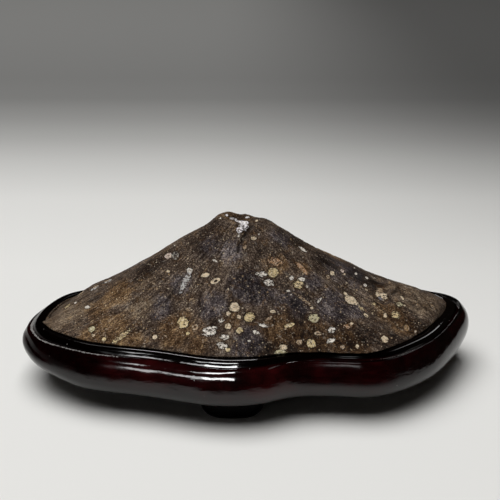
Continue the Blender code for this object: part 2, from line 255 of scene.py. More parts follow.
# Kind: (how solid the mark's inside is, how ragged its edge is, how far it sinks in, millimetres).
MARK_KINDS = {
    "solid": (0.88, 0.40, 0.10),
    "pitted": (0.70, 0.35, 0.16),
    "flecked": (0.56, 0.55, 0.06),
    "ring": (0.85, 0.60, 0.12),
    # A glint is a painted highlight.
    "glint": (1.0, 0.15, 0.0),
}
MARK_TONES = {
    # The gloss tone is painted highlight, not a colour of the stone.
    "gloss": (0.95, 0.91, 0.93),
    "white": (0.74, 0.69, 0.62),
    "cream": (0.66, 0.53, 0.36),
    "yellow": (0.60, 0.47, 0.25),
    "green": (0.46, 0.41, 0.25),
    "tan": (0.34, 0.24, 0.15),
    "ochre": (0.24, 0.14, 0.06),
    "orange": (0.36, 0.20, 0.10),
    "pink": (0.62, 0.50, 0.43),
    "blue": (0.16, 0.16, 0.20),
    # Painted sheen and highlight, not a colour of the stone.
    "frost": (0.46, 0.45, 0.44),
    "dark": (0.026, 0.024, 0.028),
}
MARK_SINK_FROM = (1.1, 0.7)
RING_MIDDLE = 0.74
RING_HALF_WIDTH = 0.30
# Marks on the sides that the camera doesn't see: how many of each, and their half sizes.
HIDDEN_MARKS = (
    ("solid", ("cream", "yellow", "cream", "white"), 34, 0.7, 2.4),
    ("pitted", ("yellow", "cream", "green"), 12, 1.8, 3.2),
    ("flecked", ("white", "yellow", "tan", "white"), 34, 1.0, 3.2),
    ("ring", ("cream", "tan"), 6, 1.4, 2.6),
)
HIDDEN_MARK_GAP = 5.0
HIDDEN_MARK_TRIES = 20

# Broad zones of the stone's colour, by kind: (pixel column, pixel row, radius in millimetres, strength).
ZONES = {
    "tan": (
        (66, 318, 24, 1.0), (84, 308, 16, 0.7), (142, 308, 13, 0.8), (145, 282, 13, 0.5),
        (418, 298, 20, 1.0), (398, 290, 13, 0.7), (396, 326, 16, 0.5), (228, 340, 9, 0.5),
    ),
    "rust": (
        (118, 292, 15, 0.9), (106, 330, 20, 1.0), (126, 340, 14, 1.0), (88, 339, 12, 0.9),
        (98, 312, 15, 0.7), (176, 331, 17, 1.0), (196, 347, 12, 0.7), (276, 264, 10, 0.9),
        (304, 268, 8, 0.6), (284, 330, 17, 1.0), (310, 338, 18, 0.9), (348, 344, 14, 0.9),
        (392, 312, 14, 0.8), (404, 326, 11, 1.0), (233, 321, 9, 0.6),
    ),
    "slate": (
        (159, 309, 11, 1.0), (182, 284, 10, 0.9), (213, 306, 12, 1.0), (231, 251, 11, 0.9),
        (246, 286, 15, 1.0), (262, 294, 12, 0.9), (246, 342, 15, 1.0), (292, 306, 14, 1.0),
        (334, 306, 17, 1.0), (356, 310, 10, 0.8), (312, 281, 10, 0.8), (345, 270, 24, 0.6),
        (238, 216, 9, 0.8), (210, 247, 11, 0.6), (281, 238, 11, 0.7),
    ),
    "fleck": (
        (170, 272, 22, 0.75), (130, 318, 24, 0.75), (362, 300, 13, 1.0), (378, 312, 13, 1.0),
        (340, 283, 12, 0.6), (300, 290, 10, 0.6),
    ),
    "dark": (
        (148, 269, 12, 0.9), (210, 237, 15, 0.5), (250, 284, 13, 0.6), (292, 307, 13, 0.6),
        (325, 261, 13, 0.9), (360, 276, 13, 1.0), (373, 283, 9, 1.0), (348, 328, 13, 0.5),
        (310, 345, 22, 0.8), (268, 352, 22, 0.7), (352, 345, 18, 1.0), (392, 342, 18, 0.8),
        (372, 332, 14, 0.5), (418, 330, 12, 0.8), (236, 215, 9, 0.45), (296, 240, 10, 0.8),
        (282, 231, 8, 0.7),
    ),
    "light": (
        (66, 318, 26, 0.45), (112, 308, 22, 0.3), (142, 308, 14, 0.3), (182, 284, 10, 0.7),
        (231, 251, 11, 0.6), (230, 232, 14, 0.35), (415, 300, 18, 0.5), (276, 266, 10, 0.5),
    ),
    "smooth": (
        (345, 265, 16, 1.0), (366, 279, 10, 1.0),
    ),
}
HIDDEN_ZONES = (("tan", 5), ("rust", 10), ("slate", 12), ("fleck", 7), ("dark", 6), ("light", 6))
HIDDEN_ZONE_RADII = (9.0, 22.0)
HIDDEN_ZONE_STRENGTHS = (0.5, 1.0)

# The stone's colours from its darkest grain to its lightest, at the same stops for each kind.
STONE_VALUE_RANGE = (1.60, 3.00)
STONE_STOPS = (0.16, 0.34, 0.50, 0.66, 0.86)
STONE_COLOURS = {
    "brown": ((0.006, 0.004, 0.003), (0.022, 0.014, 0.010), (0.052, 0.035, 0.025), (0.120, 0.086, 0.063),
              (0.36, 0.29, 0.22)),
    "slate": ((0.006, 0.005, 0.006), (0.020, 0.016, 0.017), (0.048, 0.038, 0.041), (0.108, 0.093, 0.096),
              (0.34, 0.30, 0.29)),
    "rust": ((0.009, 0.004, 0.002), (0.034, 0.017, 0.007), (0.082, 0.044, 0.019), (0.168, 0.098, 0.046),
             (0.42, 0.28, 0.13)),
    "tan": ((0.014, 0.009, 0.006), (0.040, 0.026, 0.016), (0.086, 0.058, 0.038), (0.155, 0.112, 0.076),
            (0.34, 0.27, 0.19)),
}
# How strongly the painted zones take their own colour over the brown, and over which sum of noises.
ZONE_SHARES = (("slate", 0.85), ("tan", 1.0), ("rust", 0.80))
ZONE_SPAN = (1.07, 1.57)
# Tints mixed into the stone: the clefts' tint is painted shade, the others are colours of the stone and its
# marks.
STONE_TINTS = {
    "cleft_shade": (0.008, 0.005, 0.004),
    "hair": (0.30, 0.27, 0.24),
    "halo": (0.060, 0.027, 0.010),
    "outline": (0.010, 0.006, 0.004),
    "worn": (0.070, 0.042, 0.018),
    "bright": (0.90, 0.84, 0.72),
}
# Specks: (cells per mm, share of the cells that hold one, radius, its two tones, strength). Without a
# share, it follows the painted flecks: (share for each of their strength, share elsewhere).
SPECKS = (
    (0.85, 0.18, 0.52, ((0.006, 0.004, 0.003), (0.012, 0.009, 0.008)), 0.70),
    (1.15, 0.18, 0.48, ((0.20, 0.13, 0.07), (0.42, 0.36, 0.29)), 0.75),
    (0.72, None, 0.36, ((0.26, 0.16, 0.07), (0.55, 0.46, 0.33)), 0.95),
)
FLECK_SHARES = (0.36, 0.07)
SPECK_WANDER = 1.6

# Noise in the materials, as (stretch, scale, detail, roughness, distortion): what follows the stone's
# streaks, the stone's others, the lacquer's and the feet's.
EVEN = (1.0, 1.0, 1.0)
STREAK_NOISES = {
    "streak": ((1.0, 1.0, 0.28), 42.0, 4.0, 0.70, 0.2),
    "wide": ((1.0, 1.0, 0.35), 9.0, 3.0, 0.6, 0.3),
    "hair": ((1.0, 1.0, 0.45), 15.0, 2.0, 0.5, 0.6),
}
STONE_NOISES = {
    "grain": (EVEN, 1.25, 3.0, 0.82, 0.0),
    "cloud": (EVEN, 0.13, 4.0, 0.62, 0.4),
    "stain": (EVEN, 0.24, 5.0, 0.7, 0.8),
    "hair_patch": (EVEN, 0.22, 2.0, 0.6, 0.0),
    "edge": (EVEN, 0.75, 3.0, 0.75, 0.0),
    "mottle": ((0.8, 1.0, 1.3), 0.95, 3.0, 0.80, 0.0),
}
WANDER_NOISE = (EVEN, 0.9, 2.0, 0.5, 0.0)
LACQUER_NOISES = {
    "wood": ((0.12, 1.0, 1.0), 0.55, 4.0, 0.6, 0.5),
    "depth": (EVEN, 0.045, 3.0, 0.55, 0.4),
    "dust_and_sheen": (EVEN, 0.7, 4.0, 0.7, 0.4),
    "waves": ((0.35, 1.0, 1.0), 0.35, 2.0, 0.5, 0.0),
    "ripple": (EVEN, 1.2, 2.0, 0.5, 0.0),
}
FOOT_NOISE = ((0.2, 1.0, 1.0), 0.6, 4.0, 0.6, 0.4)

# The stand's section, as insets from its outermost edge and heights: a lower moulding, a groove, a
# collar round the stone and a recess.
MOULDING_HALF_HEIGHT = 0.0104
MOULDING_DEPTH = 0.0086
# Two carvings of the section, which blend into each other: (moulding's lower radius, the tilt where that
# ends, the tilt at the moulding's top, the handles between the two, the collar's outer edge, its tilt,
# its rise). The first MOULDING_NUMBERS of these shape the moulding.
SECTION_ROUND = (0.0072, 11.5, 62.0, (0.0045, 0.0040), (0.0069, 0.0316), 26.0, 0.0015)
SECTION_RIDGED = (0.0075, 12.6, 46.0, (0.0155, 0.0011), (0.0069, 0.0309), 3.0, 0.0024)
MOULDING_NUMBERS = 4
RIDGED_FROM = (4.0, 24.0)
COLLAR_RIDGED_BEFORE = (-66.0, -88.0)
MOULDING_TOP = (0.0059, 0.0317)
MOULDING_STEPS = 20
SECTION_STATIONS = 121
GROOVE = ((0.0064, 0.03125), (0.0067, 0.03110), (0.0069, 0.03135))
# How far the groove comes down for each millimetre that it runs nearer the edge, and the crown with it.
GROOVE_DROP = 1.4
CROWN_DROP = 0.4
COLLAR_CROWN = (0.0098, 0.0346)
COLLAR_HANDLES = (0.0015, 0.0020)
COLLAR_INNER = (0.0129, 0.0330)
COLLAR_STEPS = 12
RECESS = (0.0136, 0.0250)
RECESS_LIP = (0.0133, 0.0310)
UNDERSIDE_INSET = 0.0140
# The stand's outline: points for each of its solid's, its smoothing, and how far its ends are set out.
OUTLINE_STEPS = 4
OUTLINE_SMOOTHING = 4.0 * MM
OUTLINE_END_OUTSET = 0.4 * MM
OUTLINE_ENDS_FROM = (0.45, 0.95)
# The carving's unevenness: how far it swings, the size of its waves, and the heights that it lies between.
CARVING_SWING = 0.07
CARVING_NOISE = (9.0, 2, 5.0)
CARVED_HEIGHTS = (0.0130, 0.0330)
# The moulding's widest line above the underside, and how far below and above it follows that line's shifts.
WAIST_HEIGHT = 0.0086
WAIST_REACH = (0.0006, 0.0230)
# The hand-carved unevenness of the stand's front, each as (X in mm, amount in mm): how far the moulding
# stands out, its widest line and its underside rise, and the collar and the stone's foot rise.
MOULDING_SHIFTS = (
    (-121, -0.6), (-98, -1.2), (-85, -0.5), (-71, 0.0), (-45, 0.3), (-20, -0.1), (-1, -0.6), (16, -1.7),
    (27, -1.4), (38, 0.1), (58, 0.9), (74, -0.1), (84, -0.6), (96, -0.7), (108, -0.3), (121, 0.0),
)
WAIST_SHIFTS = ((-80, 0.0), (-35, -0.5), (-10, 0.2), (25, 0.3), (45, 0.5), (58, 0.6), (72, 0.4), (90, 0.0))
UNDERSIDE_SHIFTS = (
    (-121, 3.0), (-108, 2.6), (-98, 1.2), (-88, 0.0), (72, 0.0), (84, -0.3), (96, -0.8), (108, -0.8),
    (121, 0.8),
)
COLLAR_SHIFTS = ((5, 0.0), (25, -0.9), (45, -1.0), (65, -0.9), (82, 0.0))
SHIFT_SOFTENING = (-5.0, -2.5, 0.0, 2.5, 5.0)
# Towards the stand's ends, as (X in mm, amount): how many degrees more the moulding leans over its lower
# part, how many millimetres wider that part's curve is, and how many nearer the edge the groove runs.
END_TILTS = (
    (-121, 24), (-110, 11), (-103, 5.5), (-98, 4.5), (-92, 4), (-85, 3.2), (-72, 1.5), (-60, 0), (44, 0),
    (54, 0.7), (62, 0.9), (70, 2.0), (80, 4.8), (90, 8), (100, 12.5), (110, 18), (121, 27),
)
END_RADII = ((-121, 3.0), (-105, 1.5), (-90, 0.0), (85, 0.0), (100, 1.5), (121, 4.0))
END_GROOVES = ((-121, 0.9), (-105, 0.4), (-90, 0.0), (88, 0.0), (104, 0.9), (121, 2.2))

# Dust, with a painted sheen that stands for the groove's reflected light line, lies along the groove: its
# place on the section, how far it spreads, and from which share of the stand's half length outwards. It shows
# where noise and the line add up to the span.
DUST_AND_SHEEN_LINE = Vector((0.0062, 0.0315))
DUST_AND_SHEEN_HALF_WIDTH = 0.0012
DUST_AND_SHEEN_STRENGTH = 1.1
DUST_AND_SHEEN_FROM = (0.40, 0.62)
DUST_AND_SHEEN_SPAN = (1.30, 1.60)
DUST_AND_SHEEN_COLOUR = (0.27, 0.26, 0.25)
# The lacquer's own red, and where it begins and ends, in mm: up from the underside, up to the collar, and
# along to the ends. Outside these it is painted darker, towards near-black, as painted shade.
LACQUER_REDS = (
    (0.45, (0.0003, 0.0001, 0.0001)), (0.66, (0.0085, 0.0006, 0.0008)), (0.90, (0.030, 0.0019, 0.0026)),
)
LACQUER_SHADE = (0.0006, 0.0002, 0.0002)
LACQUER_RED_FROM = (12.0, 23.0)
LACQUER_COLLAR_SHADE_FROM = (31.2, 32.2)
LACQUER_END_SHADE_FROM = (66.0, 90.0)
# Where the lacquer is rubbed dull above its widest line, on the front's right lobe and over the left
# quarter: each as (begins along X, ends along X, begins upwards), and how much rougher and less glossy
# it is there.
RUBBED = (
    ((20.0, 32.0), (62.0, 78.0), (19.0, 23.0)),
    ((-130.0, -129.0), (-66.0, -56.0), (20.5, 23.5)),
)
RUBBED_ROUGHNESS = 0.07
RUBBED_GLOSS_LOST = 0.46

# The feet's profile: (share of the height, share of the half widths).
FOOT_PROFILE = ((0.0, 0.66), (0.02, 0.70), (0.07, 0.76), (0.16, 0.84), (0.35, 0.94), (0.65, 0.99), (1.0, 1.0))
FOOT_SIDES = 96
FOOT_SQUARENESS = 2.6
FOOT_BLACKS = ((0.35, (0.0003, 0.0002, 0.0002)), (0.70, (0.0012, 0.0006, 0.0006)))
FEET = ("foot_front", "foot_left", "foot_right", "foot_back")


class Shader:
    """The node tree of one new material, with short ways to add the nodes that this script uses."""

    def __init__(self, name):
        self.material = bpy.data.materials.new(name)
        self.material.use_nodes = True
        self.tree = self.material.node_tree
        self.surface = self.tree.nodes["Principled BSDF"]

    def set(self, **sockets):
        for name, value in sockets.items():
            self.feed(self.surface.inputs[name.replace("_", " ")], value)

    def feed(self, socket, value):
        if isinstance(value, bpy.types.NodeSocket):
            self.tree.links.new(value, socket)
        elif socket.type == "RGBA":
            socket.default_value = (*value, 1.0)
        else:
            socket.default_value = value

    def node(self, kind, inputs=(), **settings):
        made = self.tree.nodes.new(kind)
        for name, value in settings.items():
            setattr(made, name, value)
        for key, value in dict(inputs).items():
            self.feed(made.inputs[key], value)
        return made

    def place(self):
        return self.node("ShaderNodeTexCoord").outputs["Object"]

    def scaled(self, vector, scale):
        made = self.node("ShaderNodeVectorMath", {0: vector, "Scale": scale}, operation="SCALE")
        return made.outputs[0]

    def vector(self, operation, first, second=(0.0, 0.0, 0.0)):
        made = self.node("ShaderNodeVectorMath", {0: first, 1: second}, operation=operation)
        return made.outputs["Value" if operation == "LENGTH" else "Vector"]

    def math(self, operation, first, second=0.0, third=0.0):
        made = self.node("ShaderNodeMath", {0: first, 1: second, 2: third}, operation=operation)
        return made.outputs[0]

    def times(self, first, *others):
        for other in others:
            first = self.math("MULTIPLY", first, other)
        return first

    def weighted(self, *parts):
        """The sum of each (value, weight)'s product."""
        total = 0.0
        for value, weight in parts:
            total = self.math("MULTIPLY_ADD", value, weight, total)
        return total

    def noise(self, vector, stretch, scale, detail, roughness, distortion, output="Fac"):
        made = self.node("ShaderNodeTexNoise", {
            "Vector": self.vector("MULTIPLY", vector, stretch), "Scale": scale, "Detail": detail,
            "Roughness": roughness, "Distortion": distortion,
        })
        return made.outputs[output]

    def noises(self, vector, table):
        return {name: self.noise(vector, *values) for name, values in table.items()}

    def cells(self, vector, scale):
        """Distance to the nearest cell's middle, and two random greys for that cell."""
        made = self.node("ShaderNodeTexVoronoi", {"Vector": vector, "Scale": scale})
        split = self.node("ShaderNodeSeparateColor", {"Color": made.outputs["Color"]})
        return made.outputs["Distance"], split.outputs[0], split.outputs[1]

    def span(self, value, low, high, to_low=0.0, to_high=1.0, smooth=True):
        made = self.node(
            "ShaderNodeMapRange",
            {"Value": value, "From Min": low, "From Max": high, "To Min": to_low, "To Max": to_high},
            interpolation_type="SMOOTHSTEP" if smooth else "LINEAR",
        )
        return made.outputs["Result"]

    def between(self, value, begins, ends):
        """1 between the two ranges: it rises over the first and falls over the second."""
        return self.times(self.span(value, *begins), self.span(value, *ends, 1.0, 0.0))

    def mix(self, share, first, second, blend="MIX"):
        inputs = {"Factor": share, 6: first, 7: second}
        return self.node("ShaderNodeMix", data_type="RGBA", blend_type=blend, inputs=inputs).outputs[2]

    def ramp(self, value, stops):
        made = self.node("ShaderNodeValToRGB", {"Fac": value})
        elements = made.color_ramp.elements
        while len(elements) < len(stops):
            elements.new(0.5)
        for element, (place, colour) in zip(elements, stops):
            element.position = place
            element.color = (*colour, 1.0)
        return made.outputs["Color"]

    def attribute(self, name, output="Fac"):
        return self.node("ShaderNodeAttribute", attribute_name=name).outputs[output]

    def bump(self, height, distance, strength):
        made = self.node("ShaderNodeBump", {"Height": height, "Distance": distance, "Strength": strength})
        return made.outputs["Normal"]


def rising(values, start, full):
    """From 0 at `start` to 1 at `full`, smoothly, and level beyond them. `full` may be the lower one."""
    share = np.clip((values - start) / (full - start), 0.0, 1.0)
    return share * share * (3.0 - 2.0 * share)


def noise_at(points, size, octaves, offset):
    """Noise from -1 to 1 at each point, with features of about `size` in the points' own unit."""
    shift = Vector((offset, offset * 0.7, offset * 1.3))
    return np.array([noise.fractal(Vector(p) / size + shift, 1.0, 2.0, octaves) for p in points])


def amounts_at(across_mm, table):
    """The table's amounts at each X, with its corners softened."""
    places, amounts = zip(*table)
    sampled = [np.interp(across_mm + ahead, places, amounts) for ahead in SHIFT_SOFTENING]
    return sum(sampled) / len(sampled)


def new_object(name, mesh):
    obj = bpy.data.objects.new(name, mesh)
    bpy.context.scene.collection.objects.link(obj)
    return obj


def welded_copy(node):
    """A bmesh of the CAD node's solid, with its split corners joined again."""
    mesh_data = bmesh.new()
    mesh_data.from_mesh(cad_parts[node].data)
    bmesh.ops.remove_doubles(mesh_data, verts=mesh_data.verts, dist=0.005 * MM)
    return mesh_data


def evaluated_mesh(obj):
    graph = bpy.context.evaluated_depsgraph_get()
    graph.update()
    return bpy.data.meshes.new_from_object(obj.evaluated_get(graph))


def vectors_of(items, name):
    values = np.empty(len(items) * 3, np.float32)
    items.foreach_get(name, values)
    return values.reshape(-1, 3).astype(float)


def points_of(mesh):
    return vectors_of(mesh.vertices, "co")


def normals_of(mesh):
    return vectors_of(mesh.vertex_normals, "vector")


def move_points(mesh, points):
    mesh.vertices.foreach_set("co", points.astype(np.float32).ravel())
    mesh.update()


def write_attribute(mesh, name, values, kind="FLOAT", field="value"):
    made = mesh.attributes.new(name, kind, "POINT")
    made.data.foreach_set(field, np.asarray(values, np.float32).ravel())


def tree_of(mesh, points):
    return BVHTree.FromPolygons(points.tolist(), [tuple(face.vertices) for face in mesh.polygons])


def camera_axes():
    turn = Euler((math.radians(90.0 - CAMERA_PITCH), 0.0, 0.0)).to_matrix()
    return turn.col[0].copy(), turn.col[1].copy(), -turn.col[2].copy()


def seen_place(tree, column, row):
    """The place on the stone that a pixel of the frame shows, in millimetres, or None beside the stone."""
    right, up, ahead = camera_axes()
    step = CAMERA_SENSOR / CAMERA_LENS / FRAME_PIXELS
    half = FRAME_PIXELS / 2.0
    ray = (ahead + right * ((column - half) * step) - up * ((row - half) * step)).normalized()
    place = tree.ray_cast(CAMERA_PLACE, ray)[0]
    return None if place is None else np.array(place) / MM


def make_camera():
    data = bpy.data.cameras.new("camera")
    data.lens = CAMERA_LENS
    data.sensor_width = CAMERA_SENSOR
    camera = new_object("camera", data)
    camera.location = CAMERA_PLACE
    camera.rotation_euler = (math.radians(90.0 - CAMERA_PITCH), 0.0, 0.0)
    bpy.context.scene.camera = camera
    bpy.context.scene.view_settings.view_transform = "Standard"


def make_panel(name, place, size, watts):
    data = bpy.data.lights.new(name, "AREA")
    data.shape = "RECTANGLE"
    data.size, data.size_y = size
    data.energy = watts
    light = new_object(name, data)
    light.location = place
    return light


def make_bar(name, start, end, width, radiance):
    """A long light between the two places, turned to face BAR_AIM and seen only in mirroring surfaces."""
    start, end = Vector(start), Vector(end)
    length = (end - start).length
    along = (end - start) / length
    place = (start + end) / 2.0
    away = place - BAR_AIM
    away = (away - along * away.dot(along)).normalized()
    bar = make_panel(name, place, (length, width), radiance * math.pi * length * width)
    bar.rotation_euler = Matrix((along, away.cross(along), away)).transposed().to_euler()
    bar.visible_diffuse = False


def make_lights():
    soft_box = make_panel("soft_box", SOFT_BOX["place"], SOFT_BOX["size"], SOFT_BOX["watts"])
    soft_box.visible_glossy = False
    for bar in BARS:
        make_bar(*bar)
    world = bpy.data.worlds.new("studio")
    world.use_nodes = True
    world.node_tree.nodes["Background"].inputs["Color"].default_value = (*STUDIO_COLOUR, 1.0)
    bpy.context.scene.world = world


def make_floor():
    side = FLOOR_HALF_SIDE
    corners = [(-side, -side, 0), (side, -side, 0), (side, side, 0), (-side, side, 0)]
    mesh = bpy.data.meshes.new("floor")
    mesh.from_pydata(corners, [], [(0, 1, 2, 3)])
    floor = new_object("floor", mesh)
    shader = Shader("floor_card")
    across, behind = shader.node("ShaderNodeSeparateXYZ", {0: shader.place()}).outputs[:2]
    nearest, furthest = FLOOR_GREYS[0][0], FLOOR_GREYS[-1][0]
    # The greys, and the darkening to the right, are painted light and shade for the studio lights' falloff.
    share = shader.span(behind, nearest, furthest, smooth=False)
    stops = []
    for distance, grey in FLOOR_GREYS:
        colour = tuple(grey * tint for tint in FLOOR_TINT)
        stops.append(((distance - nearest) / (furthest - nearest), colour))
    right = shader.span(across, *FLOOR_DIM["across"])
    far = shader.span(behind, *FLOOR_DIM["behind"], 0.0, 1.0 - FLOOR_DIM["left"])
    kept = shader.math("SUBTRACT", 1.0, shader.times(right, far))
    colour = shader.mix(1.0, shader.ramp(share, stops), kept, "MULTIPLY")
    shader.set(Base_Color=colour, Roughness=0.85, Specular_IOR_Level=0.15)
    mesh.materials.append(shader.material)


def smooth_stone_mesh():
    """The stone's solid as an even, smooth, fine mesh that still passes through the solid's corners."""
    mesh_data = welded_copy("stone")
    bmesh.ops.join_triangles(
        mesh_data, faces=mesh_data.faces, angle_face_threshold=math.radians(60.0),
        angle_shape_threshold=math.radians(60.0),
    )
    cage = bpy.data.meshes.new("stone_cage")
    mesh_data.to_mesh(cage)
    mesh_data.free()
    helper = new_object("stone_helper", cage)
    rounding = helper.modifiers.new("rounding", "SUBSURF")
    rounding.levels = 2
    wanted = points_of(cage)
    for _ in range(ROUNDING_CORRECTIONS):
        rounded = evaluated_mesh(helper)
        missed = wanted - points_of(rounded)[:len(wanted)]
        move_points(cage, points_of(cage) + missed)
        bpy.data.meshes.remove(rounded)
    remesh = helper.modifiers.new("remesh", "REMESH")
    remesh.mode = "VOXEL"
    remesh.voxel_size = STONE_VOXEL
    relax = helper.modifiers.new("relax", "SMOOTH")
    relax.factor = 0.5
    relax.iterations = STONE_SMOOTHING
    mesh = evaluated_mesh(helper)
    mesh.name = "stone_fine"
    bpy.data.objects.remove(helper)
    bpy.data.meshes.remove(cage)
    return mesh


def shape_foot(mesh):
    """Swells the stone's foot over the collar, lets it sink where the collar sinks, and drops its ends."""
    points = points_of(mesh)
    outwards = normals_of(mesh)
    outwards[:, 2] = 0.0
    outwards /= np.maximum(np.linalg.norm(outwards, axis=1, keepdims=True), 0.2)
    share = rising(points[:, 2], *FOOT_BULGE_START) * rising(points[:, 2], *FOOT_BULGE_END)
    sink = amounts_at(points[:, 0] / MM, COLLAR_SHIFTS) * MM * rising(points[:, 1], *FRONT)
    points += outwards * (FOOT_BULGE * share)[:, None]
    points[:, 2] += sink * share
    drop = np.interp(points[:, 0] / MM, *zip(*STONE_END_DROPS)) * rising(points[:, 1], *STONE_END_DROP_FROM)
    points[:, 2] -= drop * MM * rising(points[:, 2], *FOOT_BULGE_START)
    move_points(mesh, points)


def pushed_by_swells(tree, points_mm):
    """How far the swells push each point out, in millimetres."""
    push = np.zeros(len(points_mm))
    for column, row, radius, height in SWELLS:
        place = seen_place(tree, column, row)
        if place is not None:
            away = np.linalg.norm(points_mm - place, axis=1)
            push += height * rising(away, SWELL_SPREAD * radius, 0.0)
    return push


def cut_by_clefts(tree, points_mm):
    """(how far the clefts cut each point in, in millimetres; how strongly their painted shade darkens it,
    from 0 to 1).
    """
    cut = np.zeros(len(points_mm))
    shade = np.zeros(len(points_mm))
    wobble = CLEFT_WOBBLE_MM * noise_at(points_mm, *CLEFT_WOBBLE)
    for half_width, depth, pixels in CLEFTS:
        places = [seen_place(tree, *pixel) for pixel in pixels]
        places = [place for place in places if place is not None]
        for start, end in zip(places, places[1:]):
            step = end - start
            share = np.clip((points_mm - start) @ step / (step @ step), 0.0, 1.0)
            away = np.linalg.norm(points_mm - start - share[:, None] * step, axis=1) + wobble
            near = rising(away, CLEFT_SPREAD * half_width, 0.0)
            cut = np.maximum(cut, depth * near)
            shade = np.maximum(shade, near)
    return cut, shade


def stone_relief(points_mm):
    """How far each point of the stone's surface stands out, in millimetres."""
    plan = (points_mm[:, :2] - SUMMIT_MM) / PLAN_HALF_MM
    reach = np.linalg.norm(plan, axis=1, keepdims=True)
    flow = np.hstack([plan / np.maximum(reach, 0.02), reach])
    streaks = noise_at(flow * (1.0, 1.0, 0.35), *RELIEF_NOISES["streaks"])
    ribs = 1.0 - np.abs(noise_at(flow * (1.0, 1.0, 0.4), *RELIEF_NOISES["ribs"])) * 2.0
    down = rising(flow[:, 2], *SLOPE_FROM)
    relief = down * (RELIEF_HEIGHTS["streaks"] * streaks + RELIEF_HEIGHTS["ribs"] * ribs)
    for name in ("rough", "fine"):
        relief += RELIEF_HEIGHTS[name] * noise_at(points_mm, *RELIEF_NOISES[name])
    pits = rising(noise_at(points_mm, *RELIEF_NOISES["pits"]), *PITS_FROM)
    return relief + RELIEF_HEIGHTS["pits"] * pits


def is_hidden(point_mm, normal):
    """True on the stone's dry surface where the camera can't see it."""
    away = Vector(point_mm) * MM - CAMERA_PLACE
    return point_mm[2] > DRY_FROM[0] / MM + 1.0 and away.normalized().dot(Vector(normal)) > 0.05


def marks_on_stone(tree, points_mm, normals, hidden):
    """[(kind, tone, place in mm, its two axes, half width, half height)] for every mark."""
    right, up = camera_axes()[:2]
    placed = []
    for (kind, tone), marks in MARKS.items():
        for column, row, half_width, half_height, turn in marks:
            place = seen_place(tree, column, row)
            if place is None:
                continue
            angle = math.radians(-turn)
            along = right * math.cos(angle) + up * math.sin(angle)
            across = up * math.cos(angle) - right * math.sin(angle)
            placed.append((kind, tone, place, along, across, half_width, half_height))
    chance = random.Random(SEED)
    for kind, tones, count, least, most in HIDDEN_MARKS:
        for _ in range(count):
            for _ in range(HIDDEN_MARK_TRIES):
                index = chance.choice(hidden)
                place = points_mm[index]
                if all(np.linalg.norm(place - other[2]) > HIDDEN_MARK_GAP for other in placed):
                    break
            normal = Vector(normals[index])
            along = normal.cross(Vector((0.0, 0.0, 1.0))).normalized()
            across = normal.cross(along)
            size = least + (most - least) * chance.random() ** 2
            tone = chance.choice(tones)
            placed.append((kind, tone, place, along, across, size, size * chance.uniform(0.55, 1.0)))
    return placed


def paint_marks(mesh, points_mm, marks):
    """Writes the marks' field, solidity, raggedness and colour to the mesh, and returns how far they sink."""
    count = len(points_mm)
    field = np.full(count, -1.0)
    solidity = np.ones(count)
    ragged = np.zeros(count)
    colour = np.zeros((count, 4))
    sink = np.zeros(count)
    for kind, tone, place, along, across, half_width, half_height in marks:
        fill, edge, depth_mm = MARK_KINDS[kind]
        away = points_mm - place
        depth = away @ np.cross(along, across) / max(half_width, half_height)
        squares = (away @ np.array(along) / half_width) ** 2 + (away @ np.array(across) / half_height) ** 2
        distance = np.sqrt(squares + 0.25 * depth ** 2)
        inside = 1.0 - distance
        if kind == "ring":
            inside = 1.0 - np.abs(distance - RING_MIDDLE) / RING_HALF_WIDTH
        nearer = inside > field
        field[nearer] = inside[nearer]
        solidity[nearer] = fill
        ragged[nearer] = edge
        colour[nearer] = (*MARK_TONES[tone], 1.0)
        sink = np.maximum(sink, depth_mm * rising(distance, *MARK_SINK_FROM))
    write_attribute(mesh, "mark", field)
    write_attribute(mesh, "mark_fill", solidity)
    write_attribute(mesh, "mark_edge", ragged)
    write_attribute(mesh, "mark_colour", colour, "FLOAT_COLOR", "color")
    return sink


def paint_zones(mesh, points_mm, tree, hidden):
    """Writes each kind of zone to the mesh, and returns their strengths at each point."""
    fields = {kind: np.zeros(len(points_mm)) for kind in ZONES}
    spots = []
    for kind, zones in ZONES.items():
        for column, row, radius, strength in zones:
            spots.append((kind, seen_place(tree, column, row), radius, strength))
    chance = random.Random(SEED + 1)
    for kind, count in HIDDEN_ZONES:
        for _ in range(count):
            place = points_mm[chance.choice(hidden)]
            radius = chance.uniform(*HIDDEN_ZONE_RADII)
            spots.append((kind, place, radius, chance.uniform(*HIDDEN_ZONE_STRENGTHS)))
    for kind, place, radius, strength in spots:
        if place is not None:
            away = np.linalg.norm(points_mm - place, axis=1)
            fields[kind] = np.maximum(fields[kind], strength * rising(away, radius, 0.0))
    for kind, values in fields.items():
        write_attribute(mesh, kind, values)
    return fields


def flow_vector(shader, place):
    """The place in coordinates that keep the streaks straight: bearing from the summit, and way down."""
    plan = shader.vector("SUBTRACT", place, (*SUMMIT_MM, 0.0))
    plan = shader.vector("MULTIPLY", plan, (1.0 / PLAN_HALF_MM[0], 1.0 / PLAN_HALF_MM[1], 0.0))
    way_down = shader.node("ShaderNodeCombineXYZ", {2: shader.vector("LENGTH", plan)}).outputs[0]
    return shader.vector("ADD", shader.vector("NORMALIZE", plan), way_down)


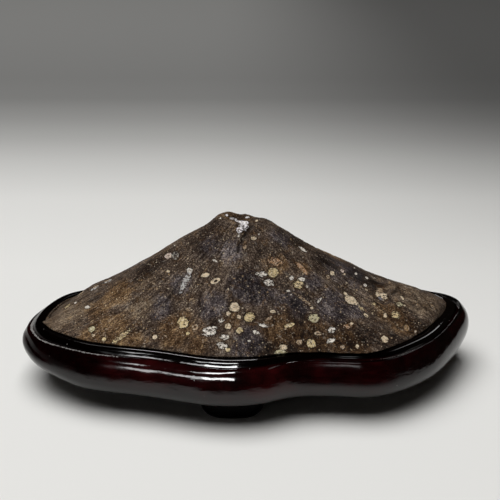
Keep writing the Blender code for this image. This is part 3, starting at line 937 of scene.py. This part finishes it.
def stone_ground(shader, noises):
    """The stone's mixed brown, slate, tan and rust, streaked down its slopes, with painted shade in its
    clefts.
    """
    value = shader.weighted(
        (noises["grain"], 2.20), (noises["streak"], 1.30), (noises["cloud"], 0.70), (noises["wide"], 0.40),
        (shader.attribute("light"), 0.30), (shader.attribute("dark"), -0.40),
    )
    value = shader.span(value, *STONE_VALUE_RANGE, smooth=False)
    ramps = {name: shader.ramp(value, list(zip(STONE_STOPS, tones))) for name, tones in STONE_COLOURS.items()}
    colour = ramps["brown"]
    for name, share in ZONE_SHARES:
        zone = shader.weighted((shader.attribute(name), 1.0), (noises["wide"], 1.0), (noises["cloud"], 0.9))
        colour = shader.mix(shader.times(shader.span(zone, *ZONE_SPAN), share), colour, ramps[name])
    stains = shader.span(noises["stain"], 0.53, 0.68, 0.0, 0.75)
    colour = shader.mix(stains, colour, ramps["rust"])
    # Painted shade: the clefts are darkened in their hollows.
    return shader.mix(shader.times(shader.attribute("cleft_shade"), 0.80), colour, STONE_TINTS["cleft_shade"])


def stone_specks(shader, place, bare, colour):
    wander = shader.noise(place, *WANDER_NOISE, output="Color")
    wandering = shader.vector("ADD", place, shader.scaled(wander, SPECK_WANDER))
    flecks = shader.math("MULTIPLY_ADD", shader.attribute("fleck"), *FLECK_SHARES)
    for scale, share, radius, tones, strength in SPECKS:
        distance, pick, tone = shader.cells(wandering, scale)
        picked = shader.math("LESS_THAN", pick, flecks if share is None else share)
        speck = shader.times(picked, strength, shader.span(distance, radius, 0.45 * radius), bare)
        colour = shader.mix(speck, colour, shader.mix(tone, *tones))
    return colour


def stone_hairs(shader, noises, bare, colour):
    """Thin pale lines that run down the slopes in patches."""
    line = shader.math("ABSOLUTE", shader.math("SUBTRACT", noises["hair"], 0.5))
    line = shader.span(line, 0.014, 0.004)
    patch = shader.span(noises["hair_patch"], 0.48, 0.60)
    streaky = shader.span(noises["streak"], 0.40, 0.60)
    return shader.mix(shader.times(line, patch, streaky, bare, 0.55), colour, STONE_TINTS["hair"])


def stone_marks(shader, noises, colour):
    """The painted marks: ragged and crumbling, over a dark outline and a brown halo. The glints, and the
    gloss and sheen tones, are painted highlights among them.
    """
    ragged = shader.times(shader.math("SUBTRACT", noises["edge"], 0.5), shader.attribute("mark_edge"))
    field = shader.math("MULTIPLY_ADD", ragged, 3.4, shader.attribute("mark"))
    mottle = noises["mottle"]
    crumbs = shader.math("MULTIPLY_ADD", shader.attribute("mark_fill"), 0.44, mottle)
    halo = shader.times(shader.span(field, -0.90, -0.20), shader.span(noises["stain"], 0.40, 0.60), 0.4)
    colour = shader.mix(halo, colour, STONE_TINTS["halo"])
    outline = shader.times(shader.span(field, -0.42, -0.14), shader.span(mottle, 0.30, 0.55), 0.8)
    colour = shader.mix(outline, colour, STONE_TINTS["outline"])
    own = shader.attribute("mark_colour", "Color")
    worn = shader.mix(0.80, own, STONE_TINTS["worn"])
    tone = shader.mix(shader.span(mottle, 0.40, 0.55), worn, own)
    tone = shader.mix(shader.span(noises["grain"], 0.50, 0.66, 0.0, 0.60), tone, STONE_TINTS["bright"])
    mark = shader.times(shader.span(field, -0.04, 0.12), shader.span(crumbs, 0.68, 0.78))
    return shader.mix(mark, colour, tone)


def stone_material():
    shader = Shader("stone_waxed")
    place = shader.scaled(shader.place(), 1.0 / MM)
    noises = shader.noises(place, STONE_NOISES)
    noises.update(shader.noises(flow_vector(shader, place), STREAK_NOISES))
    grain = noises["grain"]
    waxed = shader.attribute("smooth")
    bare = shader.span(waxed, 0.0, 0.6, 1.0, 0.15)
    colour = stone_ground(shader, noises)
    colour = stone_specks(shader, place, bare, colour)
    colour = stone_hairs(shader, noises, bare, colour)
    colour = stone_marks(shader, noises, colour)
    roughness = shader.weighted((shader.span(grain, 0.3, 0.7, 0.40, 0.62), 1.0), (waxed, -0.12))
    height = shader.weighted((grain, 0.55), (noises["streak"], 0.45))
    bumpy = shader.bump(height, 0.60 * MM, shader.span(waxed, 0.0, 0.7, 0.80, 0.15))
    shader.set(Base_Color=colour, Roughness=roughness, Specular_IOR_Level=0.03, Normal=bumpy,
               Coat_Weight=shader.span(waxed, 0.0, 0.7, 0.02, 0.35), Coat_Roughness=0.14, Coat_Normal=bumpy)
    return shader.material


def make_stone():
    mesh = smooth_stone_mesh()
    shape_foot(mesh)
    points = points_of(mesh)
    dry = rising(points[:, 2], *DRY_FROM)
    points += normals_of(mesh) * (pushed_by_swells(tree_of(mesh, points), points / MM) * dry * MM)[:, None]
    move_points(mesh, points)
    normals = normals_of(mesh)
    points_mm = points / MM
    tree = tree_of(mesh, points)
    hidden = [i for i in range(len(points)) if is_hidden(points_mm[i], normals[i])]
    sink = paint_marks(mesh, points_mm, marks_on_stone(tree, points_mm, normals, hidden))
    smoothness = paint_zones(mesh, points_mm, tree, hidden)["smooth"]
    cut, shade = cut_by_clefts(tree, points_mm)
    # The clefts' painted shade, for the stone's material.
    write_attribute(mesh, "cleft_shade", shade)
    relief = stone_relief(points_mm) * (1.0 - 0.85 * np.clip(smoothness * 1.5, 0.0, 1.0))
    move_points(mesh, points + normals * ((relief - sink - cut) * dry * MM)[:, None])
    mesh.materials.clear()
    mesh.materials.append(stone_material())
    mesh.shade_smooth()
    stone = new_object("stone_fine", mesh)
    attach(stone, "root")
    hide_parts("stone")


def sliced_stand():
    """The stand's outermost edge: its solid sliced at the moulding's middle, as one ordered ring."""
    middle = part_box("stand")[0].z + MOULDING_HALF_HEIGHT
    mesh_data = welded_copy("stand")
    everything = mesh_data.verts[:] + mesh_data.edges[:] + mesh_data.faces[:]
    cut = bmesh.ops.bisect_plane(
        mesh_data, geom=everything, plane_co=(0.0, 0.0, middle), plane_no=(0.0, 0.0, 1.0)
    )["geom_cut"]
    follow = {}
    for edge in (item for item in cut if isinstance(item, bmesh.types.BMEdge)):
        for here, there in (edge.verts, reversed(edge.verts)):
            follow.setdefault(here, []).append(there)
    start = min(follow, key=lambda vert: vert.co.x)
    ring, before, here = [start], None, start
    while True:
        ahead = [vert for vert in follow[here] if vert is not before]
        before, here = here, ahead[0]
        if here is start:
            break
        ring.append(here)
    ring = [vert.co.xy.copy() for vert in ring]
    mesh_data.free()
    area = sum(a.cross(b) for a, b in zip(ring, ring[1:] + ring[:1]))
    return ring if area > 0.0 else ring[::-1]


def without_chord_points(ring):
    """The ring without the points that lie on the straight line between their neighbours."""
    kept = []
    for i, here in enumerate(ring):
        before, after = ring[i - 1], ring[(i + 1) % len(ring)]
        bend = abs((here - before).normalized().cross((after - here).normalized()))
        if bend > math.radians(0.25):
            kept.append(here)
    return kept


def rounded_ring(ring, steps):
    """Points on the smooth closed curve through the ring, `steps` for each of its points, evenly spaced."""
    number = len(ring)
    dense = []
    for i, here in enumerate(ring):
        before, after, beyond = ring[i - 1], ring[(i + 1) % number], ring[(i + 2) % number]
        for k in range(8):
            t = k / 8.0
            dense.append(0.5 * (2.0 * here + (after - before) * t
                                + (2.0 * before - 5.0 * here + 4.0 * after - beyond) * t * t
                                + (3.0 * here - before - 3.0 * after + beyond) * t * t * t))
    dense = np.array([tuple(point) for point in dense])
    closed = np.vstack([dense, dense[:1]])
    lengths = np.concatenate([[0.0], np.cumsum(np.linalg.norm(np.diff(closed, axis=0), axis=1))])
    wanted = np.linspace(0.0, lengths[-1], number * steps, endpoint=False)
    return np.stack([np.interp(wanted, lengths, closed[:, axis]) for axis in range(2)], 1)


def mean_along(ring, weights):
    """The mean of each point's neighbours on the closed ring, by {how many points away: weight}."""
    total = sum(weight * np.roll(ring, ahead, axis=0) for ahead, weight in weights.items())
    return total / sum(weights.values())


def smoothed_ring(ring):
    """The closed ring with its small kinks evened out, by a bell-shaped mean along it."""
    step = np.linalg.norm(ring - np.roll(ring, 1, axis=0), axis=1).mean()
    reach = int(3.0 * OUTLINE_SMOOTHING / step)
    weights = {k: math.exp(-0.5 * (k * step / OUTLINE_SMOOTHING) ** 2) for k in range(-reach, reach + 1)}
    mean = mean_along(ring, weights)
    return 2.0 * mean - mean_along(mean, weights)


def inward_normals(ring):
    along = np.roll(ring, -1, axis=0) - np.roll(ring, 1, axis=0)
    along /= np.linalg.norm(along, axis=1, keepdims=True)
    return np.stack([-along[:, 1], along[:, 0]], 1)


def share_of_length(ring):
    """How far out each point lies along X, from 0 in the middle to 1 at the ends."""
    return np.abs(ring[:, 0]) / np.abs(ring[:, 0]).max()


def stand_edge():
    """The stand's outermost edge, smooth and with its ends set out."""
    ring = smoothed_ring(rounded_ring(without_chord_points(sliced_stand()), OUTLINE_STEPS))
    outset = rising(share_of_length(ring), *OUTLINE_ENDS_FROM) * OUTLINE_END_OUTSET
    return ring - inward_normals(ring) * outset[:, None]


def bezier(start, start_handle, end_handle, end, steps):
    points = []
    for k in range(steps + 1):
        t = k / steps
        u = 1.0 - t
        handles = start_handle * 3 * u * u * t + end_handle * 3 * u * t * t
        points.append(tuple(start * u ** 3 + handles + end * t ** 3))
    return points


def leaning(length, degrees):
    """A handle of this length that leans inwards from upright."""
    angle = math.radians(degrees)
    return length * Vector((math.sin(angle), math.cos(angle)))


def stand_section(radius, last_tilt, top_tilt, handles, collar_outer, collar_tilt, collar_rise, outwards=0.0):
    """[(inset, height)] from the underside's edge, over the moulding and the collar, to the recess floor."""
    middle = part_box("stand")[0].z + radius
    last = math.degrees(math.atan(math.tan(math.radians(last_tilt)) * radius / MOULDING_DEPTH))
    section = []
    for k in range(MOULDING_STEPS + 1):
        angle = math.radians(-90.0 + (90.0 + last) * k / MOULDING_STEPS)
        section.append((MOULDING_DEPTH * (1.0 - math.cos(angle)), middle + radius * math.sin(angle)))
    move = Vector((outwards, GROOVE_DROP * outwards))
    start, end = Vector(section.pop()), Vector(MOULDING_TOP) - move
    start_handle = start + leaning(handles[0] * end.x / MOULDING_TOP[0], last_tilt)
    section += bezier(start, start_handle, end - leaning(handles[1], top_tilt), end, MOULDING_STEPS)
    section += [(inset - move.x, height - move.y) for inset, height in GROOVE]
    outer, inner = Vector(collar_outer) - move, Vector(COLLAR_INNER)
    crown = Vector(COLLAR_CROWN) - Vector((0.0, CROWN_DROP * move.y))
    level, fall = Vector((COLLAR_HANDLES[0], 0.0)), Vector((0.0, COLLAR_HANDLES[1]))
    outer_handle = outer + leaning(collar_rise, collar_tilt)
    section += bezier(outer, outer_handle, crown - level, crown, COLLAR_STEPS)[:-1]
    section += bezier(crown, crown + level, inner + fall, inner, COLLAR_STEPS)
    section += [RECESS_LIP, RECESS]
    return section


def section_at(across):
    """The section at one X: the two carvings' numbers blended, with the ends' wider curve and lean."""
    ridged = float(rising(across, *RIDGED_FROM))
    collar_ridged = max(ridged, float(rising(across, *COLLAR_RIDGED_BEFORE)))
    numbers = []
    for i, (rounded, sharp) in enumerate(zip(SECTION_ROUND, SECTION_RIDGED)):
        share = ridged if i < MOULDING_NUMBERS else collar_ridged
        numbers.append((np.array(rounded) + (np.array(sharp) - np.array(rounded)) * share).tolist())
    numbers[0] += float(amounts_at(across, END_RADII)) * MM
    numbers[1] += float(amounts_at(across, END_TILTS))
    return stand_section(*numbers, outwards=float(amounts_at(across, END_GROOVES)) * MM)


def moulding_share(inset, height):
    """How fully a point of the section follows the moulding's shifts: not at all past the groove."""
    top_inset, top_height = MOULDING_TOP
    return float(rising(inset, top_inset, 0.5 * top_inset)) if height > 0.5 * top_height else 1.0


def waist_share(inset, rise):
    """How fully a point of the section follows the waist's shifts: only round the moulding's widest line."""
    if inset > MOULDING_TOP[0]:
        return 0.0
    return float(rising(rise, WAIST_REACH[0] if rise < WAIST_HEIGHT else WAIST_REACH[1], WAIST_HEIGHT))


def stand_rings():
    """(the stand's rings, from underside over collar to recess floor; how much dust and painted sheen each of
    their points has).
    """
    outline = stand_edge()
    inwards = inward_normals(outline)
    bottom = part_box("stand")[0].z
    across = outline[:, 0] / MM
    in_front = rising(outline[:, 1], *FRONT)
    dust_and_sheen_share = rising(share_of_length(outline), *DUST_AND_SHEEN_FROM)
    stand_out = amounts_at(across, MOULDING_SHIFTS) * MM * in_front
    waist = amounts_at(across, WAIST_SHIFTS) * MM
    underside = amounts_at(across, UNDERSIDE_SHIFTS) * MM
    collar = amounts_at(across, COLLAR_SHIFTS) * MM * in_front
    stations = np.linspace(across.min(), across.max(), SECTION_STATIONS)
    sections = np.array([section_at(station) for station in stations])
    rings = [np.hstack([outline + inwards * UNDERSIDE_INSET, np.full((len(outline), 1), bottom)])]
    dust_and_sheen = [np.zeros(len(outline))]
    for k, (inset, height) in enumerate(stand_section(*SECTION_ROUND)):
        insets, heights = (np.interp(across, stations, sections[:, k, axis]) for axis in range(2))
        flat = outline + inwards * (insets - stand_out * moulding_share(inset, height))[:, None]
        ring = np.hstack([flat, heights[:, None]])
        ring[:, 2] += waist * waist_share(inset, height - bottom)
        ring[:, 2] += underside * max(0.0, 1.0 - (height - bottom) / WAIST_HEIGHT)
        if height > RECESS[1] + MM:
            ring[:, 2] += collar * rising(inset, MOULDING_TOP[0], MOULDING_TOP[0] + MM)
        if CARVED_HEIGHTS[0] < height < CARVED_HEIGHTS[1]:
            ring[:, :2] += inwards * (noise_at(ring / MM, *CARVING_NOISE) * CARVING_SWING * MM)[:, None]
        rings.append(ring)
        close = max(0.0, 1.0 - (Vector((inset, height)) - DUST_AND_SHEEN_LINE).length / DUST_AND_SHEEN_HALF_WIDTH)
        dust_and_sheen.append(min(1.0, DUST_AND_SHEEN_STRENGTH * close) * dust_and_sheen_share)
    return rings, dust_and_sheen


def ring_solid(name, rings):
    """A closed mesh through the rings, which all have the same number of points."""
    count = len(rings[0])
    last = (len(rings) - 1) * count
    faces = []
    for start in range(0, last, count):
        for i in range(count):
            j = (i + 1) % count
            faces.append((start + i, start + j, start + count + j, start + count + i))
    faces.append(tuple(reversed(range(count))))
    faces.append(tuple(range(last, last + count)))
    mesh = bpy.data.meshes.new(name)
    mesh.from_pydata(np.vstack(rings).tolist(), [], faces)
    mesh.update()
    return mesh


def stand_material():
    shader = Shader("lacquer_oxblood")
    place = shader.scaled(shader.place(), 1.0 / MM)
    noises = shader.noises(place, LACQUER_NOISES)
    across, _, up = shader.node("ShaderNodeSeparateXYZ", {0: place}).outputs
    # The lacquer's own oxblood, painted near-black as painted shade below the moulding's front, on the collar
    # and towards the ends.
    red = shader.ramp(shader.weighted((noises["wood"], 0.35), (noises["depth"], 1.0)), LACQUER_REDS)
    lit_moulding = shader.between(up, LACQUER_RED_FROM, LACQUER_COLLAR_SHADE_FROM)
    unshaded_towards_end = shader.span(shader.math("ABSOLUTE", across), *LACQUER_END_SHADE_FROM, 1.0, 0.30)
    red = shader.mix(shader.times(lit_moulding, unshaded_towards_end), LACQUER_SHADE, red)
    distance, pick, _ = shader.cells(place, 0.42)
    speck = shader.times(shader.math("LESS_THAN", pick, 0.05), shader.span(distance, 0.16, 0.06), 0.5)
    # Lint specks, and along the groove's ends dust with a painted sheen for its reflected light line.
    dust_and_sheen = shader.span(shader.weighted((noises["dust_and_sheen"], 1.8), (shader.attribute("dust_and_sheen"), 1.0)), *DUST_AND_SHEEN_SPAN)
    lint_dust_and_sheen = shader.math("MAXIMUM", speck, dust_and_sheen)
    areas = []
    for begins, ends, rises in RUBBED:
        areas.append(shader.times(shader.between(across, begins, ends), shader.span(up, *rises)))
    rubbed = shader.math("MAXIMUM", *areas)
    roughness = shader.weighted(
        (rubbed, RUBBED_ROUGHNESS), (lint_dust_and_sheen, 0.45), (shader.span(noises["wood"], 0.3, 0.7, 0.05, 0.10), 1.0)
    )
    gloss = shader.math("MULTIPLY_ADD", rubbed, -RUBBED_GLOSS_LOST, 0.5)
    height = shader.weighted((noises["ripple"], 0.12), (noises["waves"], 1.0))
    shader.set(Base_Color=shader.mix(lint_dust_and_sheen, red, DUST_AND_SHEEN_COLOUR), Roughness=roughness, IOR=1.5,
               Specular_IOR_Level=gloss, Normal=shader.bump(height, 0.10 * MM, 0.6))
    return shader.material


def make_stand():
    rings, dust_and_sheen = stand_rings()
    mesh = ring_solid("stand_fine", rings)
    write_attribute(mesh, "dust_and_sheen", np.concatenate(dust_and_sheen))
    mesh.materials.append(stand_material())
    mesh.shade_smooth()
    mesh.set_sharp_from_angle(angle=math.radians(50.0))
    stand = new_object("stand_fine", mesh)
    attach(stand, "root")
    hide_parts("stand")


def foot_material():
    shader = Shader("lacquer_black")
    wood = shader.noise(shader.scaled(shader.place(), 1.0 / MM), *FOOT_NOISE)
    roughness = shader.span(wood, 0.3, 0.7, 0.22, 0.36)
    shader.set(Base_Color=shader.ramp(wood, FOOT_BLACKS), Roughness=roughness, Specular_IOR_Level=0.04,
               Normal=shader.bump(wood, 0.10 * MM, 0.5))
    return shader.material


def foot_rings(low, high):
    """Rings up a foot that fills the box: squarish ovals, narrower towards the floor."""
    centre = (low + high) / 2.0
    half = (high - low) / 2.0
    oval = []
    for k in range(FOOT_SIDES):
        angle = 2.0 * math.pi * k / FOOT_SIDES
        circle = (math.cos(angle), math.sin(angle))
        oval.append([math.copysign(abs(value) ** (2.0 / FOOT_SQUARENESS), value) for value in circle])
    rings = []
    for level, scale in FOOT_PROFILE:
        height = low.z + 2.0 * half.z * level
        ring = [(centre.x + x * half.x * scale, centre.y + y * half.y * scale, height) for x, y in oval]
        rings.append(np.array(ring))
    return rings


def make_feet():
    material = foot_material()
    for node in FEET:
        mesh = ring_solid(node + "_fine", foot_rings(*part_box(node)))
        mesh.materials.append(material)
        mesh.shade_smooth()
        mesh.set_sharp_from_angle(angle=math.radians(40.0))
        foot = new_object(node + "_fine", mesh)
        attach(foot, "root")
        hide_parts(node)


make_camera()
make_lights()
make_floor()
make_stone()
make_stand()
make_feet()

bpy.context.view_layer.update()
